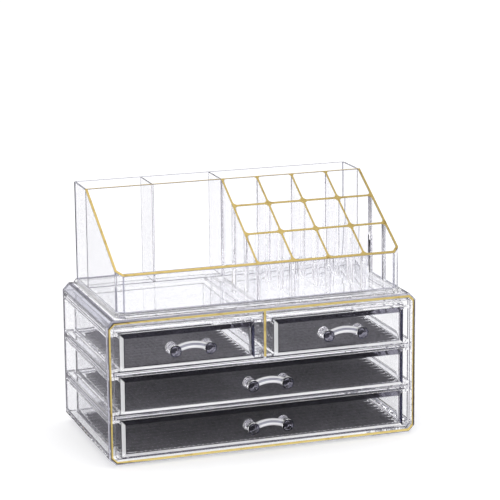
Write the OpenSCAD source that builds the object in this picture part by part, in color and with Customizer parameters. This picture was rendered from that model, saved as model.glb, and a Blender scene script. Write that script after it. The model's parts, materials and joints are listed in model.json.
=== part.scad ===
// Clear two-level makeup organizer: a case with four drawers and a lift-off tray.
// Millimetres. X runs across, -Y is the side with the handles, +Z is up.
// The origin is at the bottom centre of the whole object, handles included.

/* [Case] */
// Width of the drawer case
case_w = 243; // [232:1:280]
// Depth of the drawer case, front rim to back face
case_d = 128; // [118:1:150]
// Thickness of the case side walls and of its back
wall = 2.4; // [2:0.1:3]
// Thickness of the case floor
floor_t = 4.8; // [3.6:0.1:6]
// Thickness of the case roof
roof_t = 2.6; // [2.2:0.1:4]
// Chamfer along the four long edges of the case
edge_chamfer = 5; // [4:0.5:6]
// Small bevel round the front edge of the case
rim_bevel = 1.2; // [0.6:0.1:1.6]
// Width of the thickened rim at the sides of the front opening
rim_t = 5.3; // [4.6:0.1:5.6]
// Height of the thickened rim over the front opening
rim_top = 3.6; // [3.2:0.1:4.4]
// Depth of the thickened rim
rim_d = 4.5; // [3:0.5:8]
// Height of the plinth ring under the case
plinth_h = 1.8; // [1.2:0.1:4]
// Distance of the plinth from the case sides
plinth_side = 11.5; // [7:0.5:16]
// Distance of the plinth from the case front and back
plinth_front = 6.6; // [5:0.2:12]
// Width of the plinth ring
plinth_w = 3; // [2:0.5:6]

/* [Shelves and rails] */
// Clear height of each drawer bay
bay_h = 29.2; // [24:0.2:36]
// Height of a shelf along its skirted edges
shelf_h = 3.6; // [3:0.1:5]
// Thickness of a shelf inside its skirt
shelf_t = 2; // [1.6:0.1:2.6]
// Width of a shelf's skirt
skirt_w = 5; // [4:0.5:8]
// Distance of the shelf fronts behind the front plane
shelf_back = 1.5; // [0.8:0.1:2]
// Depth of the side rails, from the wall towards the drawers
rail_d = 6.9; // [4.5:0.1:8.4]
// Depth of the divider's rails, from its middle plate
divider_rail_d = 5.4; // [3:0.1:7]
// Height of the rail along the foot of each bay
rail_low_h = 2.2; // [1.5:0.1:4]
// Height of the rail along the head of each bay
rail_high_h = 2.5; // [1.5:0.1:3]
// Height between the header shelf and the roof
header_gap = 3.8; // [2:0.1:6]
// Thickness of the divider between the two small drawers
divider_t = 2.4; // [2:0.1:3]
// Depth of the divider's front post
post_d = 2.5; // [2:0.1:3.5]

/* [Drawers] */
// Depth of each drawer
drawer_d = 124.6; // [110:0.2:124.6]
// Sideways gap between a drawer and its rails
side_gap = 0.6; // [0.4:0.1:1]
// Gap under a drawer
under_gap = 0.4; // [0.3:0.1:0.6]
// Gap over a drawer's front
over_gap = 0.6; // [0.4:0.1:1]
// Thickness of the drawer walls
drawer_wall = 1.8; // [1.5:0.1:2.4]
// Thickness of the drawer floor
drawer_floor = 2; // [1.6:0.1:3]
// Thickness of the drawer front
front_t = 4; // [3.4:0.1:4.6]
// Height of the side and back walls of a drawer
drawer_side_h = 24; // [16:0.5:24]
// Radius of the inner corners of a drawer
drawer_r = 3; // [1:0.5:6]
// Width of the bevelled border round a drawer front
bevel_w = 3; // [2:0.1:4]
// Depth of that bevel at the edge
bevel_d = 2.6; // [1.4:0.1:3]

/* [Handles] */
// Distance between the two posts of a handle
handle_pitch = 27; // [24:0.5:34]
// How far a handle stands out from the drawer front
handle_out = 12.5; // [11:0.5:16]
// Radius of a post at its face
post_r = 4.5; // [4:0.1:5]
// Radius of a post at its waist
waist_r = 3.9; // [3:0.1:3.9]
// Rise of the arched bar over the posts' centres
bar_rise = 3.8; // [3:0.1:5]
// Thickness of the bar, up and down
bar_h = 4.2; // [3:0.1:4.8]
// Depth of the bar, front to back
bar_d = 4.6; // [3:0.1:5]
// Height of a handle above the middle of its drawer front
handle_up = 1.2; // [0:0.1:2]

/* [Mats] */
// Thickness of a mat
mat_t = 1; // [0.6:0.1:2]
// Margin between a mat and the drawer's front and sides
mat_margin = 1.2; // [0.8:0.1:4]
// Distance from a mat's back edge to the drawer's back
mat_rear = 14; // [3:0.5:24]

/* [Upper tray] */
// Width of the tray over its walls
tray_w = 222.6; // [206:0.2:226]
// Depth of the tray over its walls
tray_d = 117.6; // [112:0.2:118.6]
// Distance of the tray's front wall behind the case front
tray_back = 6.2; // [5:0.1:7.2]
// Height of the tray's back part over the case
tray_h = 80.2; // [70:0.2:90]
// Height of the tray's front wall over the case
tray_front_h = 31; // [26:0.2:40]
// Thickness of the tray's outer walls
tray_wall = 1.8; // [1.6:0.1:2.4]
// Thickness of the walls inside the tray
inner_wall = 1.5; // [1.3:0.1:2]
// Chamfer on the tray's upright front corners
tray_chamfer = 5; // [3:0.5:6]
// Chamfer on the tray's upright rear corners
tray_rear_cut = 1; // [0.5:0.5:3]
// How far the base flange stands out at the sides
flange_side = 1.9; // [1.2:0.1:3]
// How far the base flange stands out at the front
flange_front = 3.5; // [2:0.1:5]
// How far the base flange stands out at the back
flange_rear = 2.8; // [2:0.1:3]
// Thickness of the tray's base
base_t = 3.6; // [3:0.1:5]
// Depth of the hollow under the base
base_hollow = 1.2; // [0.6:0.1:1.4]
// Depth of the rear compartments
rear_d = 30.9; // [26:0.1:34]
// Middle of the divider in the rear row
rear_divider_x = -58; // [-80:1:-40]
// Middle of the divider beside the lipstick grid
grid_x = -2.8; // [-20:0.2:20]
// Columns of the lipstick grid
grid_cols = 4; // [3:1:5]
// Rows of the lipstick grid
grid_rows = 3; // [2:1:4]
// Radius of the corners where the grid's walls meet
grid_r = 3; // [1:0.5:5]

/* [Gold edges] */
// Width of the gold frame on the case
trim_w = 1.7; // [1.2:0.1:2]
// Thickness of the gold foil
foil_t = 0.25; // [0.15:0.05:0.4]

/* [Hidden] */
$fn = 48;
eps = 0.01;

clear = [0.86, 0.90, 0.95, 0.35];
gold = [0.83, 0.66, 0.27];
black = [0.12, 0.12, 0.13];

// Front and back planes of the case: the handles count in the depth.
front_y = -(case_d + handle_out) / 2 + handle_out;
back_y = front_y + case_d;
panel_y = back_y - wall;

// Heights, from the table up.
floor_z = plinth_h + floor_t;
pitch = bay_h + shelf_h;
case_top = floor_z + 3 * pitch + header_gap + roof_t;
function bay_z(row) = floor_z + row * pitch;

half_w = case_w / 2;
inner_x = half_w - wall;
rail_x = inner_x - rail_d;
drawer_x = rail_x - side_gap;
divider_rail_x = divider_t / 2 + divider_rail_d + 0.4;
small_x = divider_rail_x + side_gap;
front_h = bay_h - under_gap - over_gap;

bar_y = front_y - handle_out + 1.3 + bar_d / 2;
bar_end = 1.1;

tray_front = front_y + tray_back;
tray_rear = tray_front + tray_d;
tray_x = tray_w / 2;
tray_in_x = tray_x - tray_wall;
tray_floor = case_top + base_t;
tray_top = case_top + tray_h;
tray_front_top = case_top + tray_front_h;
cross_rear = tray_rear - tray_wall - rear_d;
cross_front = cross_rear - inner_wall;
grid_front = tray_front + tray_wall;
grid_left = grid_x - inner_wall / 2;
cell_w = (tray_in_x - grid_left - grid_cols * inner_wall) / grid_cols;
cell_d = (cross_front - grid_front - (grid_rows - 1) * inner_wall) / grid_rows;
slope = (tray_top - tray_front_top) / (cross_front - tray_front);
function slope_z(y) = tray_front_top + (y - tray_front) * slope;

// ---- Outlines and helpers --------------------------------------------------

// Draws a profile in X and Z, and carries it from y0 to y1.
module along_y(y0, y1) {
  translate([0, y1, 0]) rotate([90, 0, 0]) linear_extrude(y1 - y0) children();
}

// Draws a profile in Y and Z, and carries it from x0 to x1.
module along_x(x0, x1) {
  translate([x0, 0, 0]) rotate([90, 0, 90]) linear_extrude(x1 - x0) children();
}

// Rectangle between two corners with its four corners cut at 45 degrees.
module cut_rect(x0, y0, x1, y1, c) {
  polygon([
    [x0 + c, y0], [x1 - c, y0], [x1, y0 + c], [x1, y1 - c],
    [x1 - c, y1], [x0 + c, y1], [x0, y1 - c], [x0, y0 + c]
  ]);
}

// Rectangle between two corners with round corners of radius r.
module round_rect(x0, y0, x1, y1, r) {
  translate([x0 + r, y0]) square([x1 - x0 - 2 * r, y1 - y0]);
  translate([x0, y0 + r]) square([x1 - x0, y1 - y0 - 2 * r]);
  for (x = [x0 + r, x1 - r], y = [y0 + r, y1 - r]) translate([x, y]) circle(r);
}

// The case's outline in X and Z, drawn in by the same distance all round.
module case_outline(inset) {
  cut_rect(-half_w + inset, plinth_h + inset, half_w - inset, case_top - inset,
    edge_chamfer - inset * (2 - sqrt(2)));
}

// The outline of the hollow inside the case.
module case_hollow() {
  cut_rect(-inner_x, floor_z, inner_x, case_top - roof_t,
    edge_chamfer - wall * (2 - sqrt(2)));
}

// The front opening inside the thickened rim. Its floor is the case's floor.
module case_opening() {
  cut_rect(-half_w + rim_t, floor_z, half_w - rim_t, case_top - rim_top,
    edge_chamfer - rim_t * (2 - sqrt(2)));
}

// ---- Drawer case -----------------------------------------------------------

// Outer sleeve with its front rim, and the rails inside its two side walls.
module case_shell() color(clear) {
  difference() {
    union() {
      hull() {
        along_y(front_y, front_y + eps) case_outline(rim_bevel);
        along_y(front_y + rim_bevel, front_y + rim_bevel + eps) case_outline(0);
      }
      along_y(front_y + rim_bevel, back_y) case_outline(0);
    }
    along_y(front_y - 1, front_y + rim_d) case_opening();
    along_y(front_y + rim_d - eps, back_y + 1) case_hollow();
  }
  for (row = [0:2], side = [-1, 1]) {
    side_rail(side, bay_z(row), rail_low_h);
    side_rail(side, bay_z(row) + bay_h - rail_high_h, rail_high_h);
  }
}

// One rail along a side wall, its inner corners cut.
module side_rail(side, z, h) {
  cut = h / 4;
  along_y(front_y + rim_d, panel_y) scale([side, 1]) polygon([
    [inner_x + eps, z], [inner_x + eps, z + h], [rail_x + cut, z + h],
    [rail_x, z + h - cut], [rail_x, z + cut], [rail_x + cut, z]
  ]);
}

// Plate that closes the back of the sleeve.
module back_panel() color(clear) along_y(panel_y, back_y) case_hollow();

// Ring that the case stands on, set in from all sides.
module base_plinth() color(clear) {
  x = half_w - plinth_side;
  y0 = front_y + plinth_front;
  y1 = back_y - plinth_front;
  linear_extrude(plinth_h) difference() {
    cut_rect(-x, y0, x, y1, 2 * plinth_w);
    cut_rect(-x + plinth_w, y0 + plinth_w, x - plinth_w, y1 - plinth_w,
      2 * plinth_w - plinth_w * (2 - sqrt(2)));
  }
}

// A shelf with a skirt round its underside. Its top is at height z.
module shelf(z, y0) {
  difference() {
    translate([-inner_x, y0, z - shelf_h])
      cube([2 * inner_x, panel_y - y0, shelf_h]);
    translate([-inner_x + skirt_w, y0 + skirt_w, z - shelf_h - 1])
      cube([2 * (inner_x - skirt_w), panel_y - y0 - 2 * skirt_w,
        shelf_h - shelf_t + 1]);
  }
}

// The front corners of a shelf step back to leave room for the rim.
module notched_shelf(z) {
  difference() {
    shelf(z, front_y + shelf_back);
    for (side = [-1, 1]) translate([side * half_w, front_y, z])
      cube([2 * rim_t, 2 * rim_d, 3 * shelf_h], center = true);
  }
}

module lower_shelf() color(clear) notched_shelf(bay_z(1));

module upper_shelf() color(clear) notched_shelf(bay_z(2));

module header_shelf() color(clear) shelf(bay_z(3), front_y + rim_d);

// Upright plate between the two small drawers, with rails on both sides.
module centre_divider() color(clear) {
  z0 = bay_z(2);
  z1 = z0 + bay_h;
  x = divider_rail_x;
  web = divider_t / 2;
  along_y(front_y + rim_d, panel_y) {
    polygon([
      [-x, z0], [x, z0], [x, z0 + rail_low_h], [web, z0 + rail_low_h],
      [web, z1 - rail_high_h], [x, z1 - rail_high_h], [x, z1], [-x, z1],
      [-x, z1 - rail_high_h], [-web, z1 - rail_high_h],
      [-web, z0 + rail_low_h], [-x, z0 + rail_low_h]
    ]);
  }
  translate([-web, front_y + shelf_back, z0])
    cube([divider_t, rim_d - shelf_back + eps, z1 - z0]);
  translate([-web, front_y, z0]) cube([divider_t, post_d, case_top - rim_top - z0]);
}

// Gold foil frame on the front of the rim.
module front_trim() color(gold) along_y(front_y - foil_t, front_y) difference() {
  case_outline(rim_bevel);
  case_outline(rim_bevel + trim_w);
}

// Gold foil strip on the front of the divider's post.
module divider_trim() color(gold) {
  z0 = bay_z(2) + 1.3;
  z1 = case_top - rim_bevel - trim_w - 0.1;
  translate([-trim_w / 2, front_y - foil_t, z0]) cube([trim_w, foil_t, z1 - z0]);
}

// ---- Drawers, handles and mats ---------------------------------------------

// Left and right faces of a drawer in a place: -1 left, 1 right, 0 full width.
function drawer_left(place) = place == 1 ? small_x : -drawer_x;
function drawer_right(place) = place == -1 ? -small_x : drawer_x;

// Drawer front with a bevelled border, mitred at its corners.
module drawer_front(x0, x1, z0) {
  z1 = z0 + front_h;
  y0 = front_y;
  y1 = front_y + front_t;
  intersection() {
    along_x(x0, x1) polygon([
      [y0, z0 + bevel_w], [y0 + bevel_d, z0], [y1, z0],
      [y1, z1], [y0 + bevel_d, z1], [y0, z1 - bevel_w]
    ]);
    translate([0, 0, z0]) linear_extrude(front_h) polygon([
      [x0 + bevel_w, y0], [x1 - bevel_w, y0], [x1, y0 + bevel_d],
      [x1, y1], [x0, y1], [x0, y0 + bevel_d]
    ]);
  }
}

// A drawer: front, floor, sides and back in one piece.
module drawer(place, row) color(clear) {
  x0 = drawer_left(place);
  x1 = drawer_right(place);
  z0 = bay_z(row) + under_gap;
  y1 = front_y + drawer_d;
  drawer_front(x0, x1, z0);
  difference() {
    translate([x0, front_y + front_t - eps, z0])
      cube([x1 - x0, drawer_d - front_t + eps, drawer_side_h]);
    translate([0, 0, z0 + drawer_floor]) linear_extrude(drawer_side_h)
      round_rect(x0 + drawer_wall, front_y + front_t, x1 - drawer_wall,
        y1 - drawer_wall, drawer_r);
  }
}

// A mat that lies on a drawer's floor and stops short of its back.
module mat(place, row) color(black) {
  inset = drawer_wall + mat_margin;
  translate([0, 0, bay_z(row) + under_gap + drawer_floor]) linear_extrude(mat_t)
    round_rect(drawer_left(place) + inset, front_y + front_t + mat_margin,
      drawer_right(place) - inset, front_y + drawer_d - drawer_wall - mat_rear, drawer_r);
}

// One post of a handle: a waisted spool with a shallow dish in its face.
module handle_post() {
  rotate([90, 0, 0]) rotate_extrude() polygon([
    [0, 0], [post_r, 0], [post_r, 1.2], [waist_r, 3.2],
    [waist_r, handle_out - 3.4], [post_r, handle_out - 1.6],
    [post_r, handle_out - 0.4], [post_r - 0.4, handle_out],
    [post_r - 1.1, handle_out], [post_r - 1.5, handle_out - 0.5],
    [0, handle_out - 0.5]
  ]);
}

// The arched bar between the posts: part of a flattened ring.
module handle_bar() {
  half = handle_pitch / 2 - 0.6 * waist_r;
  rise = bar_rise - bar_end;
  ring_r = (half * half + rise * rise) / (2 * rise);
  sweep = 2 * asin(half / ring_r);
  translate([0, bar_y, bar_rise - ring_r]) rotate([90, 0, 0])
    rotate([0, 0, 90 - sweep / 2]) rotate_extrude(angle = sweep, $fn = 96)
      translate([ring_r, 0]) scale([bar_h / 2, bar_d / 2]) circle(1, $fn = 24);
}

// A handle on the middle of a drawer's front.
module handle(place, row) color(clear) {
  x = (drawer_left(place) + drawer_right(place)) / 2;
  z = bay_z(row) + under_gap + front_h / 2 + handle_up;
  translate([x, 0, z]) {
    handle_bar();
    for (side = [-1, 1])
      translate([side * handle_pitch / 2, front_y, 0]) handle_post();
  }
}

module drawer_top_left() drawer(-1, 2);
module drawer_top_right() drawer(1, 2);
module drawer_middle() drawer(0, 1);
module drawer_bottom() drawer(0, 0);

module handle_top_left() handle(-1, 2);
module handle_top_right() handle(1, 2);
module handle_middle() handle(0, 1);
module handle_bottom() handle(0, 0);

module mat_top_left() mat(-1, 2);
module mat_top_right() mat(1, 2);
module mat_middle() mat(0, 1);
module mat_bottom() mat(0, 0);

// ---- Upper tray ------------------------------------------------------------

// Rectangle of half width x with a cut front and a less cut rear at each side,
// drawn in by the same distance all round.
module tray_rect(x, y0, y1, front_cut, rear_cut, inset) {
  a = x - inset;
  f = max(front_cut - inset * (2 - sqrt(2)), 0.2);
  r = max(rear_cut - inset * (2 - sqrt(2)), 0.2);
  polygon([
    [-a + f, y0 + inset], [a - f, y0 + inset], [a, y0 + inset + f],
    [a, y1 - inset - r], [a - r, y1 - inset], [-a + r, y1 - inset],
    [-a, y1 - inset - r], [-a, y0 + inset + f]
  ]);
}

// Outline of the tray's walls, seen from above and drawn in by a distance.
module tray_outline(inset) {
  tray_rect(tray_x, tray_front, tray_rear, tray_chamfer, tray_rear_cut, inset);
}

// Outline of the base flange, drawn in by a distance.
module flange_outline(inset) {
  tray_rect(tray_x + flange_side, tray_front - flange_front, tray_rear + flange_rear,
    tray_chamfer + 1, tray_rear_cut + 1, inset);
}

// Everything under the tray's top line: level at the back, sloping to the front.
module under_slope(z0) {
  y0 = tray_front - 1;
  y1 = tray_rear + 1;
  along_x(-half_w, half_w) polygon([
    [y0, z0], [y1, z0], [y1, tray_top], [cross_front, tray_top],
    [y0, slope_z(y0)]
  ]);
}

// Base plate with a sloped flange, hollow underneath.
module tray_base() color(clear) {
  lip = base_t * 0.45;
  translate([0, 0, case_top]) difference() {
    union() {
      linear_extrude(lip) flange_outline(0);
      hull() {
        translate([0, 0, lip - eps]) linear_extrude(eps) flange_outline(0);
        translate([0, 0, base_t - eps]) linear_extrude(eps)
          flange_outline(min(flange_side, flange_rear) - 0.4);
      }
    }
    translate([0, 0, -1]) linear_extrude(1 + base_hollow) flange_outline(5);
  }
}

// Outer walls of the tray, with the sloping top of the two sides.
module tray_walls() color(clear) intersection() {
  translate([0, 0, tray_floor]) linear_extrude(tray_top) difference() {
    tray_outline(0);
    tray_outline(tray_wall);
  }
  under_slope(tray_floor);
}

// Full-width wall in front of the rear compartments.
module tray_cross_wall() color(clear) {
  translate([-tray_in_x, cross_front, tray_floor])
    cube([2 * tray_in_x, inner_wall, tray_top - tray_floor]);
}

// The two short dividers of the rear compartments.
module tray_rear_dividers() color(clear) {
  for (x = [rear_divider_x, grid_x])
    translate([x - inner_wall / 2, cross_rear, tray_floor])
      cube([inner_wall, rear_d, tray_top - tray_floor]);
}

// Filling where two walls cross, with round corners of radius grid_r.
module crossing() {
  reach = grid_r + inner_wall / 2;
  difference() {
    square(2 * reach, center = true);
    for (x = [-reach, reach], y = [-reach, reach]) translate([x, y]) circle(grid_r);
  }
}

// The lipstick grid's walls, seen from above.
module grid_plan() {
  step_x = cell_w + inner_wall;
  step_y = cell_d + inner_wall;
  intersection() {
    translate([grid_left, grid_front])
      square([tray_in_x - grid_left, cross_front - grid_front]);
    union() {
      for (col = [0:grid_cols - 1])
        translate([grid_left + col * step_x, grid_front])
          square([inner_wall, cross_front - grid_front]);
      for (row = [1:grid_rows - 1])
        translate([grid_left, grid_front + row * step_y - inner_wall])
          square([tray_in_x - grid_left, inner_wall]);
      for (col = [0:grid_cols], row = [0:grid_rows])
        if ((col < grid_cols) || (row > 0 && row < grid_rows))
          translate([
            grid_left + inner_wall / 2 + col * step_x,
            grid_front - inner_wall / 2 + row * step_y
          ]) crossing();
    }
  }
}

// Cells for lipsticks, cut off along the tray's slope.
module lipstick_grid() color(clear) intersection() {
  translate([0, 0, tray_floor]) linear_extrude(tray_top) grid_plan();
  under_slope(tray_floor);
}

// Gold foil on the sloping edges and on the cross wall.
module tray_trim() color(gold) {
  y0 = tray_front - 1;
  rise = foil_t * sqrt(1 + slope * slope);
  intersection() {
    translate([0, 0, tray_floor]) linear_extrude(tray_top) {
      difference() {
        tray_outline(0);
        tray_outline(tray_wall);
      }
      grid_plan();
      translate([-tray_in_x - eps, cross_front])
        square([2 * (tray_in_x + eps), inner_wall]);
    }
    along_x(-half_w, half_w) polygon([
      [y0, slope_z(y0)], [cross_front, tray_top], [cross_rear, tray_top],
      [cross_rear, tray_top + foil_t], [cross_front, tray_top + foil_t],
      [cross_front - rise, slope_z(cross_front - rise) + rise], [y0, slope_z(y0) + rise]
    ]);
  }
}

case_shell();
back_panel();
base_plinth();
lower_shelf();
upper_shelf();
header_shelf();
centre_divider();
front_trim();
divider_trim();
drawer_top_left();
drawer_top_right();
drawer_middle();
drawer_bottom();
handle_top_left();
handle_top_right();
handle_middle();
handle_bottom();
mat_top_left();
mat_top_right();
mat_middle();
mat_bottom();
tray_base();
tray_walls();
tray_cross_wall();
tray_rear_dividers();
lipstick_grid();
tray_trim();
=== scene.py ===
"""Finish and photo stage for a clear makeup organizer with drawers.

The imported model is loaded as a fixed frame. The case's sleeve and rails, the drawers, the
handles and the mats are surfaces worked out with numpy. The other clear pieces are copies of
their nodes, with rounded edges on all but the lipstick grid, and the foil stays on its own
nodes. Everything is in metres, and in the shaders in millimetres.
"""

import json
from math import cos, pi, radians, sin

import bmesh
import bpy
import numpy as np
from mathutils import Matrix, Vector

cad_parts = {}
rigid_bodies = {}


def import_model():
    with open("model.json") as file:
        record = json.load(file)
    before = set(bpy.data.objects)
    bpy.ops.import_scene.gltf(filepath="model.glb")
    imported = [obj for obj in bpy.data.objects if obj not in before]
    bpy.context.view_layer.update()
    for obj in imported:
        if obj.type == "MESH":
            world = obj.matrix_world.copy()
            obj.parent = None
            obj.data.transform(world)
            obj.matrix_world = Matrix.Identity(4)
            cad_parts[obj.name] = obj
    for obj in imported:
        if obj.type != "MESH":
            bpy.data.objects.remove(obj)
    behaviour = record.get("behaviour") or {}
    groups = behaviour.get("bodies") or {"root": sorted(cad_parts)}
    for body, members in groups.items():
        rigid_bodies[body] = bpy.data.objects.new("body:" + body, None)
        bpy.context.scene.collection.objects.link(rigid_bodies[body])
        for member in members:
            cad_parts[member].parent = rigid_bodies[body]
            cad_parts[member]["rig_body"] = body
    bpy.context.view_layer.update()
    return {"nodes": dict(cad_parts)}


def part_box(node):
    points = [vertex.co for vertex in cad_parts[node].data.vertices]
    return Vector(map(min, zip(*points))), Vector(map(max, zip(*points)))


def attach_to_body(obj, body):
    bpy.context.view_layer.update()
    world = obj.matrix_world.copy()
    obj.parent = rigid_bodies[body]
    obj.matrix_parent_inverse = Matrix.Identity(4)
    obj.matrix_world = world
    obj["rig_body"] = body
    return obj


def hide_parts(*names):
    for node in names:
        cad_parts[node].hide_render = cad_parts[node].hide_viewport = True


bl_info = {
    "name": "Clear Makeup Organizer",
    "version": (1, 0, 0),
    "blender": (4, 5, 0),
    "location": "3D View > Sidebar > Organizer",
    "description": "Builds the finish of a clear makeup organizer round its packed frame",
    "category": "Object",
}

MM = 0.001
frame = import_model()

PLACES = ("top_left", "top_right", "middle", "bottom")

# The clear plastic's finishes, numbered as plastic_materials lists them: clear, then painted shade
# for edges, painted deep shade for bevels, painted highlights and a painted grey sheen.
CLEAR, PAINTED_SHADE, PAINTED_DEEP_SHADE, PAINTED_HIGHLIGHT, PAINTED_SHEEN = range(5)


# ---- Shader expressions ------------------------------------------------------


class Value:
    """A shader socket that adds, multiplies and compares like a number."""

    def __init__(self, tree, socket):
        self.tree = tree
        self.socket = socket

    def maths(self, operation, *inputs):
        return self.tree.node("ShaderNodeMath", dict(enumerate(inputs)), operation=operation)

    def __add__(self, other):
        return self.maths("ADD", self, other)

    def __sub__(self, other):
        return self.maths("SUBTRACT", self, other)

    def __rsub__(self, other):
        return self.maths("SUBTRACT", other, self)

    def __mul__(self, other):
        return self.maths("MULTIPLY", self, other)

    def __gt__(self, other):
        return self.maths("GREATER_THAN", self, other)

    def __abs__(self):
        return self.maths("ABSOLUTE", self)

    def most(self, other):
        return self.maths("MAXIMUM", self, other)

    def least(self, other):
        return self.maths("MINIMUM", self, other)

    def clamped(self, low, high, to_low=0.0, to_high=1.0):
        """Maps low..high to to_low..to_high, and holds the ends."""
        sockets = {"Value": self, "From Min": low, "From Max": high}
        sockets.update({"To Min": to_low, "To Max": to_high})
        return self.tree.node("ShaderNodeMapRange", sockets)

    __radd__ = __add__
    __rmul__ = __mul__


class Tree:
    """The nodes of one material or world."""

    def __init__(self, owner):
        owner.use_nodes = True
        self.nodes = owner.node_tree.nodes
        self.links = owner.node_tree.links
        self.nodes.clear()

    def node(self, kind, sockets=None, output=0, **settings):
        """Adds a node: its settings first, then the values or links of its sockets."""
        made = self.nodes.new(kind)
        for name, value in settings.items():
            setattr(made, name, value)
        for name, value in (sockets or {}).items():
            if isinstance(value, Value):
                self.links.new(value.socket, made.inputs[name])
            else:
                made.inputs[name].default_value = value
        return Value(self, made.outputs[output])

    def mix(self, factor, first, second):
        """Mixes two colours."""
        first, second = (c if isinstance(c, Value) else (*c, 1) for c in (first, second))
        sockets = {0: factor, 6: first, 7: second}
        return self.node("ShaderNodeMix", sockets, output=2, data_type="RGBA")

    def place(self, scale=(1, 1, 1)):
        """Object coordinates in millimetres, scaled."""
        here = self.node("ShaderNodeTexCoord", output="Object")
        sockets = {"Vector": here, "Scale": [s / MM for s in scale]}
        return self.node("ShaderNodeMapping", sockets)

    def noise(self, vector, scale, detail=2.0, roughness=0.5):
        """Noise with scale features to the millimetre, 0 to 1."""
        sockets = {"Vector": vector, "Scale": scale, "Detail": detail}
        sockets["Roughness"] = roughness
        return self.node("ShaderNodeTexNoise", sockets)

    def bump(self, height, strength, distance):
        """A normal that leans as the height rises and falls."""
        sockets = {"Height": height, "Strength": strength, "Distance": distance}
        return self.node("ShaderNodeBump", sockets)

    def axis(self, vector, name):
        """One of a vector's numbers: X, Y or Z."""
        return self.node("ShaderNodeSeparateXYZ", {0: vector}, output=name)

    def light_path(self, name):
        """One fact about the ray that hits the surface, such as its kind."""
        return self.node("ShaderNodeLightPath", output=name)

    def mirrored(self):
        """1 for a ray that has been reflected just once on its way, and 0 for any other."""
        times = self.light_path("Glossy Depth")
        once = (times > 0.5) * (1 - (times > 1.5))
        return once * (1 - self.light_path("Is Diffuse Ray"))

    def finish(self, shader, kind="ShaderNodeOutputMaterial"):
        """Ends the tree in its output node."""
        made = self.nodes.new(kind)
        self.links.new(shader.socket, made.inputs["Surface"])


# ---- Settings ----------------------------------------------------------------


def length(text, about, default):
    return bpy.props.FloatProperty(
        name=text, description=about, default=default, min=0, unit="LENGTH", precision=5
    )


def share(text, about, default):
    return bpy.props.FloatProperty(
        name=text, description=about, default=default, min=0, max=1, subtype="FACTOR"
    )


def colour(text, about, default):
    return bpy.props.FloatVectorProperty(
        name=text, description=about, default=default, size=3, min=0, max=1, subtype="COLOR"
    )


class OrganizerPlastic(bpy.types.PropertyGroup):
    tint: colour("Tint", "What the clear plastic lets through", (0.985, 0.985, 0.992))
    # Painted light and shade: the next three tints paint dark rounded edges, near-black shaded
    # bevels, and a pale grey sheen on cut corners and rims.
    edge_shade_tint: colour("Edge tint", "What its rounded edges let through", (0.09, 0.085, 0.12))
    deep_shade_tint: colour("Bevel tint", "What its shaded bevels let through", (0.003, 0.003, 0.009))
    sheen_tint: colour("Misty tint", "Colour of its cut corners and rims", (0.50, 0.50, 0.585))
    sheen_scatter: share("Mist", "Share of light that its cut corners scatter", 0.5)
    # The frost paints highlights on lit bevels by scattering the lamps' light.
    frost: share("Frost", "Share of light that its lit bevels scatter", 0.75)
    shade: share("Lamp light let through", "Share of lamp light let through at each face", 0.955)
    gloss: share("Roughness", "Roughness of the polished faces", 0.012)
    calm: share("Calmed reflections", "Share of its surface reflections taken away", 0.6)
    edge: length("Edge radius", "Radius of the moulded edges", 0.45 * MM)
    gap: length("Joint gap", "Air between two mouldings that touch", 0.03 * MM)


class OrganizerGold(bpy.types.PropertyGroup):
    # Painted light and shade: the tray's foil colour is darker and the case's brighter, to make up
    # for how the lamps light them, and the foil edge colour is a painted shade line.
    light: colour("Tray foil", "Colour of the foil on the tray", (0.68, 0.51, 0.165))
    dark: colour("Worn foil", "Colour where the foil is thin", (0.40, 0.25, 0.05))
    low: colour("Case foil", "Colour of the foil on the case", (0.94, 0.74, 0.25))
    line: colour("Foil edge", "Colour of the line along its outer edge", (0.06, 0.03, 0.012))
    gloss: share("Roughness", "Roughness of the foil", 0.24)
    metal: share("Metal", "How far the foil mirrors and doesn't scatter", 0.55)


class OrganizerMat(bpy.types.PropertyGroup):
    dark: colour("Rubber", "Colour of the mat's threads", (0.088, 0.085, 0.094))
    light: colour("Rubbed rubber", "Colour on top of the threads", (0.205, 0.198, 0.215))


class OrganizerStage(bpy.types.PropertyGroup):
    azimuth: bpy.props.FloatProperty(
        name="Camera azimuth", description="Turn of the camera round the object",
        default=radians(-18.890), subtype="ANGLE",
    )
    elevation: bpy.props.FloatProperty(
        name="Camera elevation", description="Height of the camera over the horizon",
        default=radians(13.006), subtype="ANGLE",
    )
    roll: bpy.props.FloatProperty(
        name="Camera roll", description="Lean of the camera",
        default=radians(-0.527), subtype="ANGLE",
    )
    distance: length("Camera distance", "From the camera to the point it aims at", 1.7)
    floor: colour("Floor", "Colour of the floor", (0.80, 0.80, 0.80))
    mirrored: colour("Floor in reflections", "How reflections show the floor", (0.32, 0.31, 0.35))
    ceiling: colour("Ceiling", "Colour of the dark studio overhead", (0.10, 0.09, 0.13))
    haze: colour("Ceiling through plastic", "Its colour through clear plastic", (0.46, 0.45, 0.50))


# ---- Materials ---------------------------------------------------------------

# The plastic's index of refraction, and the Fresnel share over which all light stays inside.
INDEX, TOTAL = 1.49, 0.97

# Roughness of its edges and bevels, which are less polished than its faces.
EDGE_GLOSS, LIT_GLOSS = 0.05, 0.08


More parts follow.
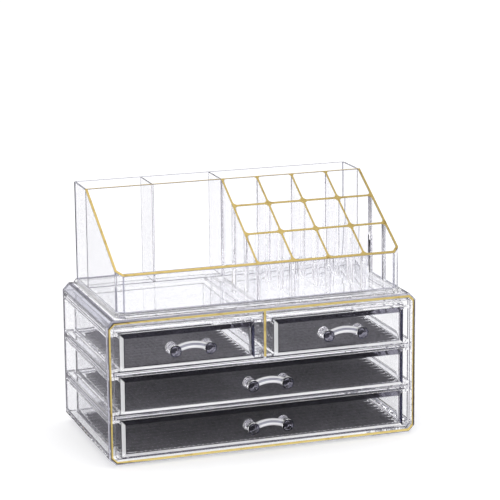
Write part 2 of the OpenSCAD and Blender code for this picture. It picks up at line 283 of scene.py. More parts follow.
def clear_material(name, tint, roughness, frost):
    """Clear moulded plastic: glass with a faint waviness, which lets lamps through.

    Part of its reflections gives way to plain refraction, as under a polarising filter,
    except where the light is wholly reflected inside.
    """
    settings = bpy.context.scene.organizer_plastic
    material = bpy.data.materials.new(name)
    tree = Tree(material)
    place = tree.place()
    wave = tree.noise(place, 0.035, detail=1.0)
    haze = tree.noise(place, 0.4, detail=4.0).clamped(0.35, 0.75, roughness * 0.4, roughness * 2.2)
    relief = tree.bump(wave, 0.25, 0.4 * MM)
    glass = tree.node(
        "ShaderNodeBsdfPrincipled",
        {
            "Base Color": (*tint, 1),
            "Roughness": haze,
            "Transmission Weight": 1.0 - frost,
            "IOR": INDEX,
            "Normal": relief,
        },
    )
    sockets = {"Color": (*(c**0.5 for c in tint), 1), "Roughness": roughness, "IOR": INDEX}
    bare = tree.node("ShaderNodeBsdfRefraction", {**sockets, "Normal": relief})
    inside = tree.node("ShaderNodeFresnel", {"IOR": INDEX, "Normal": relief}) > TOTAL
    calm = (1 - inside) * (settings.calm * (1.0 - frost))
    glass = tree.node("ShaderNodeMixShader", {0: calm, 1: glass, 2: bare})
    sees = (*(settings.shade * c for c in tint), 1)
    through = tree.node("ShaderNodeBsdfTransparent", {"Color": sees})
    soft = tree.light_path("Is Shadow Ray").most(tree.light_path("Is Diffuse Ray"))
    tree.finish(tree.node("ShaderNodeMixShader", {0: soft, 1: glass, 2: through}))
    return material


# The foil frame's outer edge: its sides, top, bottom and how far its corners are cut. Then the
# heights between which the case's foil colour, brightened as painted light, gives way to the
# tray's, darkened as painted shade, and those between which the frame's foot comes to its full
# shine. All in millimetres.
FRAME_HALF, FRAME_HIGH, FRAME_LOW, FRAME_CUT = 120.3, 110.2, 3.0, 4.3
CASE_FOIL, TRAY_FOIL = 112, 130
FOOT_DULL, FOOT_BRIGHT = 4.0, 12.0
DIAGONAL = 0.5**0.5


def foil_shade_line(tree, place):
    """1 on the painted shade line, brown, along the outer edge of the case's foil, and 0
    elsewhere.

    It is widest on the right, thin on the left and round both left corners, and fades out
    along the top and the bottom. Distances in from the edges and the cut corners are in
    millimetres.
    """
    x, z = tree.axis(place, "X"), tree.axis(place, "Z")
    side, above, low = FRAME_HALF - abs(x), abs(FRAME_HIGH - z), z - FRAME_LOW
    high_corner = (side + above - FRAME_CUT) * DIAGONAL
    low_corner = (side + low - FRAME_CUT) * DIAGONAL
    sides = x.clamped(-1, 1, 0.45, 1.0) - side
    top = x.clamped(-112, -70, 0.7, -0.2) - above.least(high_corner)
    bottom = x.clamped(-116, -82, 0.75, -0.2) - low.least(low_corner)
    return sides.most(top).most(bottom).clamped(-0.12, 0.12)


def gold_material():
    """Hot-stamped foil: bright metal, thinner and browner in patches, finely grained.

    Towards the foot of the case it mirrors less and scatters more. Its colour is brighter on the
    case's front than on the tray, as painted light and shade, and a painted shade line runs along
    the case foil's outer edge.
    """
    settings = bpy.context.scene.organizer_gold
    material = bpy.data.materials.new("foil_gold")
    tree = Tree(material)
    place = tree.place()
    patches = tree.noise(place, 0.16, detail=5.0, roughness=0.6)
    grain = tree.noise(place, 2.4, detail=2.0)
    worn = patches.clamped(0.56, 0.74)
    # Painted shade: a dark line along the case foil's outer edge.
    line = foil_shade_line(tree, place)
    high = tree.axis(place, "Z")
    # Painted light and shade by height: the case's foil brighter, the tray's darker.
    foil = tree.mix(high.clamped(CASE_FOIL, TRAY_FOIL), settings.low, settings.light)
    foil = tree.mix(worn, foil, settings.dark)
    metal = tree.node(
        "ShaderNodeBsdfPrincipled",
        {
            "Base Color": tree.mix(line, foil, settings.line),
            "Metallic": settings.metal * high.clamped(FOOT_DULL, FOOT_BRIGHT, 0.3, 1.0),
            "Roughness": settings.gloss + 0.16 * worn + 0.1 * grain,
            "Normal": tree.bump(grain + patches, 0.15, 0.05 * MM),
        },
    )
    tree.finish(metal)
    return material


def mat_material():
    """Foamed rubber: dark, matt, paler in random patches and finely pitted."""
    settings = bpy.context.scene.organizer_mat
    material = bpy.data.materials.new("mat_rubber")
    tree = Tree(material)
    place = tree.place()
    pits = tree.noise(place, 1.6, detail=4.0, roughness=0.7)
    rubbed = tree.noise(place, 0.05, detail=3.0)
    cells = tree.noise(tree.place((1, 0.5, 1)), 0.45, detail=2.0).clamped(0.38, 0.62)
    tone = pits.clamped(0.4, 0.7) * 0.3 + cells * 0.4 + rubbed.clamped(0.35, 0.7) * 0.3
    rubber = tree.node(
        "ShaderNodeBsdfPrincipled",
        {
            "Base Color": tree.mix(tone, settings.dark, settings.light),
            "Roughness": pits.clamped(0.3, 0.7, 0.55, 0.8),
            "Normal": tree.bump(pits, 0.6, 0.15 * MM),
        },
    )
    tree.finish(rubber)
    return material


def material(name, make):
    """The material of that name, made on its first use."""
    return bpy.data.materials.get(name) or make()


def plastic_materials():
    """The clear plastic's finishes, in the order of CLEAR, PAINTED_SHADE, PAINTED_DEEP_SHADE, PAINTED_HIGHLIGHT and PAINTED_SHEEN."""
    # All finishes but the clear one are painted light and shade: dark edges, near-black bevels,
    # frosted highlights lit by the lamps, and a grey sheen.
    settings = bpy.context.scene.organizer_plastic
    looks = {
        "plastic_clear": (settings.tint, settings.gloss, 0.0),
        "plastic_painted_shade": (settings.edge_shade_tint, EDGE_GLOSS, 0.0),
        "plastic_painted_deep_shade": (settings.deep_shade_tint, EDGE_GLOSS, 0.0),
        "plastic_painted_highlight": (settings.tint, LIT_GLOSS, settings.frost),
        "plastic_painted_sheen": (settings.sheen_tint, EDGE_GLOSS, settings.sheen_scatter),
    }
    return [
        material(name, lambda: clear_material(name, *look)) for name, look in looks.items()
    ]


# ---- Meshes ------------------------------------------------------------------


def finish_with(mesh, materials):
    """Gives a mesh its materials, unless it has them."""
    if not mesh.materials:
        for finish in materials:
            mesh.materials.append(finish)


def attach(mesh, name, body, nodes, materials):
    """Puts a mesh into the scene as a piece that rides on a body and stands for CAD nodes."""
    piece = bpy.data.objects.new(name, mesh)
    bpy.context.scene.collection.objects.link(piece)
    finish_with(mesh, materials)
    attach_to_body(piece, body)
    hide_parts(*nodes)
    return piece


# Points nearer than this are one, faces within this angle are one, and edges that turn by
# more than this are rounded.
MERGE, FLAT_ANGLE, EDGE_ANGLE = 0.002 * MM, radians(0.5), radians(20)


def merged_mesh(name, node, gap, flat=True):
    """A CAD node's surface with its doubles merged, and its flat faces joined if asked.

    Points on one spot become one, triangles in one plane become one face, and every point
    moves against its normal by the gap.
    """
    work = bmesh.new()
    work.from_mesh(node.data)
    bmesh.ops.remove_doubles(work, verts=work.verts, dist=MERGE)
    if flat:
        bmesh.ops.dissolve_limit(
            work, angle_limit=FLAT_ANGLE, verts=work.verts, edges=work.edges
        )
    mesh = bpy.data.meshes.new(name)
    work.to_mesh(mesh)
    work.free()
    co = np.empty(len(mesh.vertices) * 3, np.float32)
    normal = np.empty_like(co)
    mesh.vertices.foreach_get("co", co)
    mesh.vertices.foreach_get("normal", normal)
    mesh.vertices.foreach_set("co", co - gap * normal)
    mesh.shade_smooth()
    return mesh


def rounded(corners, radius, steps=3):
    """A polygon with round corners, as points in order.

    Each corner C becomes the curve (1-t)^2 P + 2t(1-t) C + t^2 Q, where P and Q lie on the two
    edges at radius / tan(half the corner's angle) from it.
    """
    corners = np.asarray(corners, float)
    before = np.roll(corners, 1, 0) - corners
    after = np.roll(corners, -1, 0) - corners
    before /= np.linalg.norm(before, axis=1, keepdims=True)
    after /= np.linalg.norm(after, axis=1, keepdims=True)
    half = np.arccos(np.clip((before * after).sum(1), -1, 1)) / 2
    reach = (np.broadcast_to(radius, half.shape) / np.tan(half))[:, None, None]
    t = np.linspace(0, 1, steps + 1)[None, :, None]
    first = corners[:, None] + before[:, None] * reach
    last = corners[:, None] + after[:, None] * reach
    curve = (1 - t) ** 2 * first + 2 * t * (1 - t) * corners[:, None] + t**2 * last
    return curve.reshape(-1, 2)


def cut_corners(x0, y0, x1, y1, cut):
    """The eight corners of a rectangle whose own four are cut at 45 degrees."""
    return [
        (x0 + cut, y0), (x1 - cut, y0), (x1, y0 + cut), (x1, y1 - cut),
        (x1 - cut, y1), (x0 + cut, y1), (x0, y1 - cut), (x0, y0 + cut),
    ]


def box_corners(x0, y0, x1, y1):
    """The four corners of a rectangle."""
    return [(x0, y0), (x1, y0), (x1, y1), (x0, y1)]


def loft(name, rings, finishes=None, closed=False):
    """Closed surfaces through rings of points: point j of ring i joins its neighbours.

    rings is bodies x rings x points x 3, or the same without bodies for a single one. The last
    ring joins the first one where the loft is closed; otherwise both ends get a flat face.
    finishes numbers the material of each band, or of each face: bands x points.
    """
    rings = np.asarray(rings, float)
    count, size = rings.shape[-3:-1]
    bodies = rings.size // (3 * count * size)
    bands = count if closed else count - 1
    i, j = np.meshgrid(np.arange(bands), np.arange(size), indexing="ij")
    after, beside = (i + 1) % count, (j + 1) % size
    quads = np.stack(
        [i * size + j, i * size + beside, after * size + beside, after * size + j], -1
    ).reshape(-1, 4)
    start = np.arange(bodies)[:, None, None] * count * size
    faces = (quads + start).reshape(-1, 4).tolist()
    finish = np.asarray(CLEAR if finishes is None else finishes)
    if finish.ndim < 2:
        finish = finish.reshape(-1, 1)
    finish = np.tile(np.broadcast_to(finish, (bands, size)).ravel(), bodies)
    if not closed:
        ends = np.stack([np.arange(size)[::-1], np.arange(size) + (count - 1) * size])
        faces += (ends + start).reshape(-1, size).tolist()
        finish = np.append(finish, np.full(2 * bodies, CLEAR))
    mesh = bpy.data.meshes.new(name)
    mesh.from_pydata(rings.reshape(-1, 3), [], faces)
    mesh.polygons.foreach_set("material_index", finish.astype(np.int32))
    work = bmesh.new()
    work.from_mesh(mesh)
    bmesh.ops.recalc_face_normals(work, faces=work.faces)
    work.to_mesh(mesh)
    work.free()
    return mesh


def fillet(radius, steps=2):
    """Sideways and lengthwise distances along a quarter round, from its flank to its end."""
    turn = np.linspace(0, pi / 2, steps + 1)
    return list(zip(radius * (1 - np.cos(turn)), radius * np.sin(turn)))


def union(name, first, others):
    """The first clear mesh with the others joined to it as one closed solid."""
    scene = bpy.context.scene
    for mesh in (first, *others):
        finish_with(mesh, plastic_materials())
    whole = bpy.data.objects.new(name, first)
    scene.collection.objects.link(whole)
    tools = []
    for mesh in others:
        tool = bpy.data.objects.new(name + "_tool", mesh)
        scene.collection.objects.link(tool)
        join = whole.modifiers.new("join", "BOOLEAN")
        join.operation, join.solver, join.object = "UNION", "EXACT", tool
        join.material_mode = "INDEX"
        tools.append(tool)
    joined = whole.evaluated_get(bpy.context.evaluated_depsgraph_get())
    done = bpy.data.meshes.new_from_object(joined)
    done.name = name
    for thing in (whole, *tools):
        bpy.data.objects.remove(thing)
    return done


def smooth(mesh, angle=30):
    """Smooth shading with sharp edges where faces meet at more than the angle."""
    mesh.shade_smooth()
    mesh.set_sharp_from_angle(angle=radians(angle))
    return mesh


def flat_faces(piece):
    """Lets a piece's large faces set the normals of the round edges beside them."""
    weighted = piece.modifiers.new("Flat faces", "WEIGHTED_NORMAL")
    weighted.weight = 100
    weighted.keep_sharp = True


def clear_piece(name, edge=None, finish=PAINTED_SHADE):
    """A clear moulding: the node's own shape, whose edges are rounded unless edge is 0. The
    rounded edges take the finish, painted shade unless another is given.
    """
    settings = bpy.context.scene.organizer_plastic
    node = frame["nodes"][name]
    mesh = merged_mesh(name + "_moulding", node, settings.gap, flat=edge != 0)
    piece = clear_part(name, mesh)
    if edge != 0:
        bevel = piece.modifiers.new("Rounded edges", "BEVEL")
        bevel.width = edge or settings.edge
        bevel.segments = 2
        bevel.limit_method = "ANGLE"
        bevel.angle_limit = EDGE_ANGLE
        bevel.use_clamp_overlap = False
        bevel.material = finish
        flat_faces(piece)
    return piece


def clear_part(name, mesh):
    """Puts a mesh in the place of a clear node."""
    body = frame["nodes"][name]["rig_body"]
    return attach(mesh, name + "_moulding", body, [name], plastic_materials())


# ---- Case --------------------------------------------------------------------

CHAMFER, CASE_ROUND = 5.0 * MM, 0.5 * MM
RIM, RIM_TOP, RIM_DEPTH, RIM_BEVEL = 5.3 * MM, 3.6 * MM, 4.5 * MM, 1.2 * MM
WALL, FLOOR, ROOF = 2.4 * MM, 4.8 * MM, 2.6 * MM
SILL = FLOOR + 0.1 * MM
BAY, PITCH = 29.2 * MM, 32.8 * MM
RAIL_DEPTH, RAIL_LOW, RAIL_HIGH = 6.9 * MM, 2.2 * MM, 2.5 * MM
RAIL_ROUND, RAIL_SHARP, RAIL_LEAST = 0.6 * MM, 0.1 * MM, 0.12 * MM
POST_EDGE = 0.3 * MM

# How far a rail sinks into the wall and the rim, and stops short of the back.
IN_WALL, IN_RIM, OFF_BACK = 0.8 * MM, 1 * MM, 0.2 * MM

# A rail's section has 16 points. These start the faces of its two round corners, which carry
# painted shade.
RAIL_CORNERS = (0, 1, 2, 12, 13, 14)

# The case's section has 34 points, and a face of the sleeve starts at each. The cut corners carry
# a painted grey sheen, and the roof's strips beyond ROOF_STRIP and their round edges carry painted
# shade.
ROOF_STRIP = 114.4 * MM
ROOF_START = 20
CASE_SIDES = np.full(34, CLEAR)
CASE_SIDES[[7, 15, 25, 33]] = PAINTED_SHEEN
CASE_SIDES[[16, 17, 18, 19, 21, 22, 23, 24]] = PAINTED_SHADE


def case_ring(y, side, low, high):
    """The case's eight-cornered section at y, drawn in by these distances.

    A corner's cut shrinks by side (2 - sqrt 2), which keeps the wall's thickness there.
    """
    lo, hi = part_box("case_shell")
    cut = CHAMFER - side * (2 - 2**0.5)
    corners = cut_corners(lo.x + side, lo.z + low, hi.x - side, hi.z - high, cut)
    ring = rounded(corners, CASE_ROUND)
    strip = [(ROOF_STRIP, hi.z - high), (-ROOF_STRIP, hi.z - high)]
    return np.insert(np.insert(ring, ROOF_START, strip, axis=0), 1, y, axis=1)


def case_sleeve():
    """The case's tube: sections carried from back to front outside and back inside.

    Each run adds a section and the finish of the band that follows it.
    """
    lo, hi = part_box("case_shell")
    edge = bpy.context.scene.organizer_plastic.edge
    rings, bands = [], []

    def run(insets, y, finish):
        rings.append(case_ring(y, *insets))
        bands.append(finish)

    # Round edges carry painted shade, and the rim's bevel a painted grey sheen.
    for side, along in reversed(fillet(edge)):
        run((side,) * 3, hi.y - edge + along, PAINTED_SHADE)
    bands[-1] = CASE_SIDES
    run((0, 0, 0), lo.y + RIM_BEVEL, PAINTED_SHEEN)
    run((RIM_BEVEL,) * 3, lo.y, CLEAR)
    for side, along in reversed(fillet(edge)):
        run((RIM - side, SILL - side, RIM_TOP - side), lo.y + edge - along, PAINTED_SHADE)
    bands[-1] = CLEAR
    run((RIM, SILL, RIM_TOP), lo.y + RIM_DEPTH, CLEAR)
    run((WALL, FLOOR, ROOF), lo.y + RIM_DEPTH, CLEAR)
    for side, along in fillet(edge):
        run((WALL - side, FLOOR - side, ROOF - side), hi.y - edge + along, PAINTED_SHADE)
    bands[-1] = CLEAR
    finishes = np.array([np.broadcast_to(band, len(CASE_SIDES)) for band in bands])
    return loft("case_sleeve", rings, finishes, closed=True)


def case_rail(side, low, high):
    """A rail with round edges: its section carried along the wall, drawn in at its ends."""
    lo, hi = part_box("case_shell")
    inner = hi.x - WALL
    face = inner - RAIL_DEPTH
    start, end = lo.y + RIM_DEPTH - IN_RIM, hi.y - WALL - OFF_BACK
    steps = [(0, start), *((s, end - RAIL_ROUND + a) for s, a in fillet(RAIL_ROUND, 3))]
    rings = []
    for inset, y in steps:
        corners = box_corners(
            face + inset, low + inset, inner + IN_WALL - inset, high - inset
        )
        soft = max(RAIL_ROUND - inset, RAIL_LEAST)
        ring = rounded(corners, (soft, RAIL_SHARP, RAIL_SHARP, soft))
        ring[:, 0] *= side
        rings.append(np.insert(ring, 1, y, axis=1))
    finish = np.where(np.isin(np.arange(len(ring)), RAIL_CORNERS), PAINTED_SHADE, CLEAR)
    return loft("case_rail", rings, np.tile(finish, (len(rings) - 1, 1)))


# ---- Drawers and handles -----------------------------------------------------

FRONT, BEVEL, BEVEL_DEEP = 4.0 * MM, 3.1 * MM, 1.6 * MM
PLATE_ROUND, PLATE_EDGE, TUB_EDGE, TUB_FOOT = 0.25 * MM, 0.3 * MM, 0.4 * MM, 1.2 * MM
SIDE_HIGH, DRAWER_WALL, DRAWER_FLOOR = 24 * MM, 1.8 * MM, 2.0 * MM
DRAWER_ROUND, TUB_ROUND = 3.0 * MM, 1.0 * MM

# How far the tub starts behind the front's face, and keeps off the planes of the plate.
TUB_START, TUB_TRIM = 1.2 * MM, 0.02 * MM

# The plate's section has 16 points. Its flat sides start at these, and the bevels there have the
# finishes of the bottom, the right, the top and the left: painted highlights at the bottom and the
# left, painted deep shade on the right and painted shade at the top.
BEVEL_SIDES, BEVEL_PAINTED_LIGHT = [3, 7, 11, 15], [PAINTED_HIGHLIGHT, PAINTED_DEEP_SHADE, PAINTED_SHADE, PAINTED_HIGHLIGHT]


def drawer_plate(lo, hi):
    """A drawer's front: rectangles drawn in step by step, which slope in at the border.

    Each step gives how far the rectangle is drawn in, its depth behind the front, and the
    finish of the band that follows it.
    """
    steps = [
        (side, FRONT - PLATE_EDGE + along, PAINTED_SHADE) for side, along in reversed(fillet(PLATE_EDGE))
    ]
    steps[-1] = (*steps[-1][:2], CLEAR)
    steps += [
        (0, BEVEL_DEEP + 0.15 * MM, PAINTED_SHADE),
        (0.12 * MM, BEVEL_DEEP - 0.12 * MM, CLEAR),
        (BEVEL - 0.3 * MM, 0.1 * MM, PAINTED_SHADE),
        (BEVEL + 0.3 * MM, 0, CLEAR),
    ]
    rings = []
    for inset, depth, _ in steps:
        corners = box_corners(lo.x + inset, lo.z + inset, hi.x - inset, hi.z - inset)
        rings.append(np.insert(rounded(corners, PLATE_ROUND), 1, lo.y + depth, axis=1))
    finish = np.tile([[step[2]] for step in steps[:-1]], (1, len(rings[0])))
    finish[-2, BEVEL_SIDES] = BEVEL_PAINTED_LIGHT
    return loft("drawer_plate", rings, finish)


def drawer_tub(lo, hi):
    """A drawer's floor and walls: outlines carried up outside, over the rim and down inside."""
    edge, trim = TUB_EDGE, TUB_TRIM
    low, top = lo.z, lo.z + SIDE_HIGH
    outline = (lo.x + trim, lo.y + TUB_START, hi.x - trim, hi.y)
    back = hi.y - DRAWER_WALL
    hollow = (lo.x + DRAWER_WALL, lo.y + FRONT + trim, hi.x - DRAWER_WALL, back)
    rings, bands = [], []

    def run(sides, inset, z, radius, finish):
        x0, y0, x1, y1 = sides
        corners = box_corners(x0 + inset, y0 + inset, x1 - inset, y1 - inset)
        ring = rounded(corners, radius, 6)
        rings.append(np.insert(ring, 2, z, axis=1))
        bands.append(finish)

    for side, along in reversed(fillet(edge)):
        run(outline, side, low + edge - along, TUB_ROUND, PAINTED_SHADE)
    bands[-1] = CLEAR
    for side, along in fillet(edge):
        run(outline, side, top - edge + along, TUB_ROUND, PAINTED_SHADE)
    bands[-1] = CLEAR
    for side, along in reversed(fillet(edge)):
        run(hollow, -side, top - edge + along, DRAWER_ROUND, PAINTED_SHADE)
    bands[-1] = CLEAR
    for side, along in fillet(TUB_FOOT, 3):
        run(hollow, side, low + DRAWER_FLOOR + TUB_FOOT - along, DRAWER_ROUND, CLEAR)
    return loft("drawer_tub", rings, bands[:-1])


POST, WAIST, HANDLE_OUT, HANDLE_PITCH = 4.5 * MM, 3.9 * MM, 12.5 * MM, 27.0 * MM
BAR_HIGH, BAR_DEEP, BAR_RISE, BAR_FOOT = 5.4 * MM, 4.6 * MM, 3.0 * MM, 0.6 * MM
BAR_BACK = 1.3 * MM

# The bar ends this share of the waist's radius inside each post's axis.
BAR_END = 0.6

# The post's profile: distances out from the drawer's face, and its radius at each. The bands from
# POST_RING on are the dark ring round its end, in painted deep shade, and those from POST_DISC on
# the dished end, in painted shade.
POST_REACH = (0.03, 0.25, 1.1, 1.6, 2.6, 4.2, 8.0, 9.6, 10.6, 11.2, 12.1, 12.4, 12.5, 12.5,
              12.3, 12.05, 12.0)
POST_RADIUS = (4.35, 4.5, 4.5, 4.3, 4.0, 3.9, 3.9, 4.0, 4.3, 4.45, 4.5, 4.4, 4.15, 3.7,
               3.35, 3.0, 0.3)
POST_RING, POST_DISC = 10, 13


def handle_post(x, z, face):
    """A waisted spool: a profile of distance and radius turned about the post's axis."""
    reach, radius = np.array(POST_REACH) * MM, np.array(POST_RADIUS) * MM
    turn = np.linspace(0, 2 * pi, 40, endpoint=False)
    rings = np.stack(
        [
            x + radius[:, None] * np.cos(turn),
            np.repeat(face - reach[:, None], len(turn), 1),
            z + radius[:, None] * np.sin(turn),
        ],
        -1,
    )
    band = np.arange(len(reach) - 1)
    finish = np.select([band < POST_RING, band < POST_DISC], [CLEAR, PAINTED_DEEP_SHADE], PAINTED_SHADE)
    return loft("handle_post", rings, finish)


def handle_bar(x, z, y):
    """An arch: an ellipse carried round part of a circle through both posts.

    The circle's radius is (half^2 + rise^2) / (2 rise), for an arch of that half width and rise.
    The finish changes with the height on the ellipse, where -1 is its underside: painted
    highlights along the top and low on the side, a painted grey sheen between them, and painted
    shade underneath.
    """
    half = HANDLE_PITCH / 2 - BAR_END * WAIST
    rise = BAR_RISE - BAR_FOOT
    ring = (half**2 + rise**2) / (2 * rise)
    sweep = np.arcsin(half / ring)
    along = np.linspace(-sweep, sweep, 33)[:, None]
    turn = np.linspace(0, 2 * pi, 28, endpoint=False)[None, :]
    out = ring + BAR_HIGH / 2 * np.cos(turn)
    rings = np.stack(
        [
            x + out * np.sin(along),
            y + BAR_DEEP / 2 * np.sin(turn) + 0 * along,
            z + BAR_RISE - ring + out * np.cos(along),
        ],
        -1,
    )
    high = np.cos(turn[0])
    finish = np.select([high > 0.6, high > -0.2, high > -0.8], [PAINTED_HIGHLIGHT, PAINTED_SHEEN, PAINTED_HIGHLIGHT], PAINTED_SHADE)
    return loft("handle_bar", rings, np.tile(finish, (len(along) - 1, 1)))


# ---- Mats --------------------------------------------------------------------

# Each pair is for the threads that run from front to back, and then from side to side.
MAT_PITCH = (3.7 * MM, 7.3 * MM)
THREAD_WIDE, THREAD_WAVE = (1.54 * MM, 3.1 * MM), 0.1 * MM
THREAD_FLAT = (0.86, 0.94)
TOOTH, TOOTH_TIP, LEFT_TIP = 5 * MM, 0.4, 0.9
MARGIN, CORNER_STEP = 0.1 * MM, 1.4 * MM


def mat_threads(lo, hi, across):
    """The mat's threads one way: an eight-sided ellipse carried along each thread.

    At s from the middle its half width is WIDE + WAVE cos(2 pi s / pitch), widest at the
    crossings, and its half height is FLAT times half the mat's. The first and the last thread
    are a little shorter, which rounds the mat's corners. The threads that run from side to
    side narrow towards their ends, to teeth on the right and hardly at all on the left. The
    others leave out their first and last row, so that the teeth stand free.
    """
    along = 1 - across
    pitch = MAT_PITCH[across]
    count = int((hi[across] - lo[across]) / pitch)
    rows = (lo[across] + hi[across]) / 2 + (np.arange(count) - (count - 1) / 2) * pitch
    start, end = lo[along] + MARGIN, hi[along] - MARGIN
    if not across:
        rows = rows[1:-1]
    s = np.linspace(start, end, int((end - start) / MAT_PITCH[along]) * 6 + 1)
    draw_in = np.zeros((len(rows), 1))
    draw_in[[0, -1]] = CORNER_STEP
    middle = (start + end) / 2
    reach = middle + (s[None] - middle) * (1 - 2 * draw_in / (end - start))
    wide = THREAD_WIDE[across] + THREAD_WAVE * np.cos(2 * pi * (s - middle) / MAT_PITCH[along])
    if across:
        wide *= np.clip(TOOTH_TIP + (end - s) / TOOTH, TOOTH_TIP, 1)
        wide *= np.clip(LEFT_TIP + (s - start) / TOOTH, LEFT_TIP, 1)
    turn = np.linspace(0, 2 * pi, 8, endpoint=False) + pi / 8
    high = (hi[2] - lo[2]) / 2
    rings = np.empty((len(rows), len(s), len(turn), 3))
    rings[..., along] = reach[..., None]
    rings[..., across] = rows[:, None, None] + wide[:, None] * np.cos(turn)
    rings[..., 2] = lo[2] + high + high * np.sin(turn) * THREAD_FLAT[across]
    return rings


# ---- Operators ---------------------------------------------------------------


class ORGANIZER_OT_case(bpy.types.Operator):
    """Clear case with its back, plinth, shelves and divider"""

    bl_idname = "organizer.case"
    bl_label = "Case"

    def execute(self, context):
        lo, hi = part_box("case_shell")
        rails = []
        for row in range(3):
            bay = lo.z + FLOOR + row * PITCH
            for side in (-1, 1):
                rails.append(case_rail(side, bay, bay + RAIL_LOW))
                rails.append(case_rail(side, bay + BAY - RAIL_HIGH, bay + BAY))
        shell = union("case_shell", case_sleeve(), rails)
        flat_faces(clear_part("case_shell", smooth(shell)))
        for name in ("back_panel", "base_plinth", "lower_shelf", "upper_shelf"):
            clear_piece(name)
        clear_piece("header_shelf", finish=CLEAR)
        clear_piece("centre_divider", POST_EDGE)
        return {"FINISHED"}


class ORGANIZER_OT_drawers(bpy.types.Operator):
    """Four clear drawers and their handles"""

    bl_idname = "organizer.drawers"
    bl_label = "Drawers"

    def execute(self, context):
        for place in PLACES:
            lo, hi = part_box("drawer_" + place)
            drawer = union("drawer", drawer_plate(lo, hi), [drawer_tub(lo, hi)])
            flat_faces(clear_part("drawer_" + place, smooth(drawer)))
            lo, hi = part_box("handle_" + place)
            x, z = (lo.x + hi.x) / 2, lo.z + POST
            face = lo.y + HANDLE_OUT
            posts = [handle_post(x + side * HANDLE_PITCH / 2, z, face) for side in (-1, 1)]
            bar_y = lo.y + BAR_BACK + BAR_DEEP / 2
            handle = union("handle", posts[0], [posts[1], handle_bar(x, z, bar_y)])
            clear_part("handle_" + place, smooth(handle, 40))
        return {"FINISHED"}


class ORGANIZER_OT_mats(bpy.types.Operator):
    """Mats on the drawers' floors"""

    bl_idname = "organizer.mats"
    bl_label = "Mats"

    def execute(self, context):
        rubber = material("mat_rubber", mat_material)
        for place in PLACES:
            node = frame["nodes"]["mat_" + place]
            lo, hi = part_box(node.name)
            meshes = [loft("mat", mat_threads(lo, hi, across)) for across in (0, 1)]
            work = bmesh.new()
            for mesh in meshes:
                work.from_mesh(mesh)
            work.to_mesh(meshes[0])
            work.free()
            net = smooth(meshes[0], 60)
            attach(net, node.name + "_net", node["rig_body"], [node.name], [rubber])
        return {"FINISHED"}


class ORGANIZER_OT_tray(bpy.types.Operator):
    """Clear lift-off tray with its walls, dividers and lipstick grid"""

    bl_idname = "organizer.tray"
    bl_label = "Tray"

    def execute(self, context):
        clear_piece("tray_base", finish=CLEAR)
        # The walls' rounded edges carry a painted grey sheen, and those of the cross wall and
        # dividers painted shade.
        clear_piece("tray_walls", finish=PAINTED_SHEEN)
        for name in ("tray_cross_wall", "tray_rear_dividers"):
            clear_piece(name, POST_EDGE)
        smooth(clear_piece("lipstick_grid", 0).data)
        return {"FINISHED"}


class ORGANIZER_OT_foil(bpy.types.Operator):
    """Gold foil on the case and the tray"""

    bl_idname = "organizer.foil"
    bl_label = "Gold foil"

    def execute(self, context):
        gold = material("foil_gold", gold_material)
        for name in ("front_trim", "divider_trim", "tray_trim"):
            node = frame["nodes"][name]
            node.data.materials.clear()
            node.data.materials.append(gold)
        return {"FINISHED"}


class ORGANIZER_OT_stage(bpy.types.Operator):
    """Floor, world, lamps and camera"""

    bl_idname = "organizer.stage"
    bl_label = "Stage"

    def execute(self, context):
        make_floor()
        make_world()
        make_lamps()
        make_camera()
        context.scene.view_settings.view_transform = "Standard"
        cycles = context.scene.cycles
        cycles.max_bounces = 64
        cycles.transmission_bounces = 32
        cycles.glossy_bounces = 48
        cycles.diffuse_bounces = 4
        cycles.transparent_max_bounces = 96
        return {"FINISHED"}


# ---- Stage -------------------------------------------------------------------

AIM = Vector((10.34, 5.09, 140.40)) * MM
LENS, SENSOR = 160.13, 36.0

# Half the floor's width in metres, and in millimetres the distances between which it brightens.
FLOOR_HALF, FLOOR_NEAR, FLOOR_FAR = 4.0, 250, 900

# What the camera sees of the room, and what matt faces do.
WHITE, ROOM = (1, 1, 1), (0.72, 0.72, 0.73)

# Soft boxes: name, place, width, height and watts. Each faces the object.
LAMP_AIM = Vector((0, 0, 0.1))
LAMPS = (
    ("key", (-0.7, -1.3, 0.8), 0.7, 0.7, 7.0),
    ("fill", (1.1, -1.1, 0.6), 0.5, 0.9, 4.0),
    ("top", (0.1, 0.2, 1.5), 1.0, 0.6, 3.0),
)


def make_floor():
    """A wide square, whose colour the camera and clear plastic see as white.

    Its glow for them grows from 0.4 near the object to 0.5 far off. A mirrored look at it is
    dimmer, as a studio's floor is outside the lamps' light.
    """
    settings = bpy.context.scene.organizer_stage
    mesh = bpy.data.meshes.new("floor")
    square = box_corners(-FLOOR_HALF, -FLOOR_HALF, FLOOR_HALF, FLOOR_HALF)
    mesh.from_pydata([(x, y, 0) for x, y in square], [], [(0, 1, 2, 3)])
    floor = bpy.data.objects.new("floor", mesh)
    bpy.context.scene.collection.objects.link(floor)
    finish = bpy.data.materials.new("floor_white")
    tree = Tree(finish)
    paint = tree.node("ShaderNodeBsdfDiffuse", {"Color": (*settings.floor, 1)})
    seen = tree.light_path("Is Camera Ray").most(tree.light_path("Is Transmission Ray"))
    spot = tree.node(
        "ShaderNodeVectorMath", {0: tree.place()}, output="Value", operation="LENGTH"
    )
    far = spot.clamped(FLOOR_NEAR, FLOOR_FAR, 0.40, 0.50)
    glow = tree.node("ShaderNodeEmission", {"Strength": seen * far})
    bright = tree.node("ShaderNodeAddShader", {0: paint, 1: glow})
    dim = tree.node("ShaderNodeBsdfDiffuse", {"Color": (*settings.mirrored, 1)})
    tree.finish(tree.node("ShaderNodeMixShader", {0: tree.mirrored(), 1: bright, 2: dim}))
    mesh.materials.append(finish)


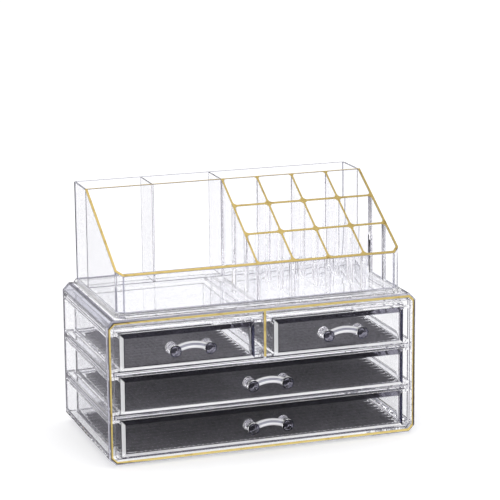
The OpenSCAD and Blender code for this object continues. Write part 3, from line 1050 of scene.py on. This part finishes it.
def make_world():
    """White for the camera; for gloss and glass it darkens overhead, as a studio does."""
    settings = bpy.context.scene.organizer_stage
    world = bpy.data.worlds.new("studio")
    bpy.context.scene.world = world
    tree = Tree(world)
    up = tree.axis(tree.node("ShaderNodeTexCoord", output="Generated"), "Z")
    high = up.clamped(0.30, 0.60)
    through = tree.light_path("Is Transmission Ray")
    seen = tree.light_path("Is Glossy Ray").most(through)
    shown = tree.mix(high, WHITE, tree.mix(through, settings.ceiling, settings.haze))
    plain = tree.mix(tree.light_path("Is Camera Ray"), ROOM, WHITE)
    tree.finish(
        tree.node("ShaderNodeBackground", {"Color": tree.mix(seen, plain, shown)}),
        "ShaderNodeOutputWorld",
    )


def make_lamps():
    """Hangs the lamps."""
    for name, place, width, height, watts in LAMPS:
        lamp = bpy.data.lights.new(name, "AREA")
        lamp.shape = "RECTANGLE"
        lamp.size, lamp.size_y, lamp.energy = width, height, watts
        thing = bpy.data.objects.new(name, lamp)
        thing.location = place
        aim = LAMP_AIM - thing.location
        thing.rotation_euler = aim.to_track_quat("-Z", "Y").to_euler()
        bpy.context.scene.collection.objects.link(thing)


def make_camera():
    """The camera of the photograph: it looks at AIM from the azimuth and elevation."""
    settings = bpy.context.scene.organizer_stage
    a, e, r = settings.azimuth, settings.elevation, settings.roll
    back = Vector((sin(a) * cos(e), -cos(a) * cos(e), sin(e)))
    right = (-back).cross(Vector((0, 0, 1))).normalized()
    up = right.cross(-back)
    right, up = cos(r) * right + sin(r) * up, -sin(r) * right + cos(r) * up
    lens = bpy.data.cameras.new("camera")
    lens.lens, lens.sensor_width = LENS, SENSOR
    lens.clip_start, lens.clip_end = 0.05, 50
    camera = bpy.data.objects.new("camera", lens)
    turn = Matrix((right, up, back)).transposed().to_4x4()
    camera.matrix_world = Matrix.Translation(AIM + settings.distance * back) @ turn
    bpy.context.scene.collection.objects.link(camera)
    bpy.context.scene.camera = camera


class ORGANIZER_PT_panel(bpy.types.Panel):
    """Lists the settings and the steps"""

    bl_idname = "ORGANIZER_PT_panel"
    bl_label = "Clear Makeup Organizer"
    bl_space_type = "VIEW_3D"
    bl_region_type = "UI"
    bl_category = "Organizer"

    def draw(self, context):
        for settings in GROUPS.values():
            group = getattr(context.scene, settings)
            for name in group.__class__.__annotations__:
                self.layout.prop(group, name)
        for step in STEPS:
            self.layout.operator(step.bl_idname)


STEPS = (
    ORGANIZER_OT_case,
    ORGANIZER_OT_drawers,
    ORGANIZER_OT_mats,
    ORGANIZER_OT_tray,
    ORGANIZER_OT_foil,
    ORGANIZER_OT_stage,
)
GROUPS = {
    OrganizerPlastic: "organizer_plastic",
    OrganizerGold: "organizer_gold",
    OrganizerMat: "organizer_mat",
    OrganizerStage: "organizer_stage",
}


def register():
    for kind in (*GROUPS, *STEPS, ORGANIZER_PT_panel):
        bpy.utils.register_class(kind)
    for group, name in GROUPS.items():
        setattr(bpy.types.Scene, name, bpy.props.PointerProperty(type=group))


def unregister():
    for name in GROUPS.values():
        delattr(bpy.types.Scene, name)
    for kind in reversed((*GROUPS, *STEPS, ORGANIZER_PT_panel)):
        bpy.utils.unregister_class(kind)


def main():
    register()
    for step in STEPS:
        family, verb = step.bl_idname.split(".")
        getattr(getattr(bpy.ops, family), verb)()


if __name__ == "__main__":
    main()
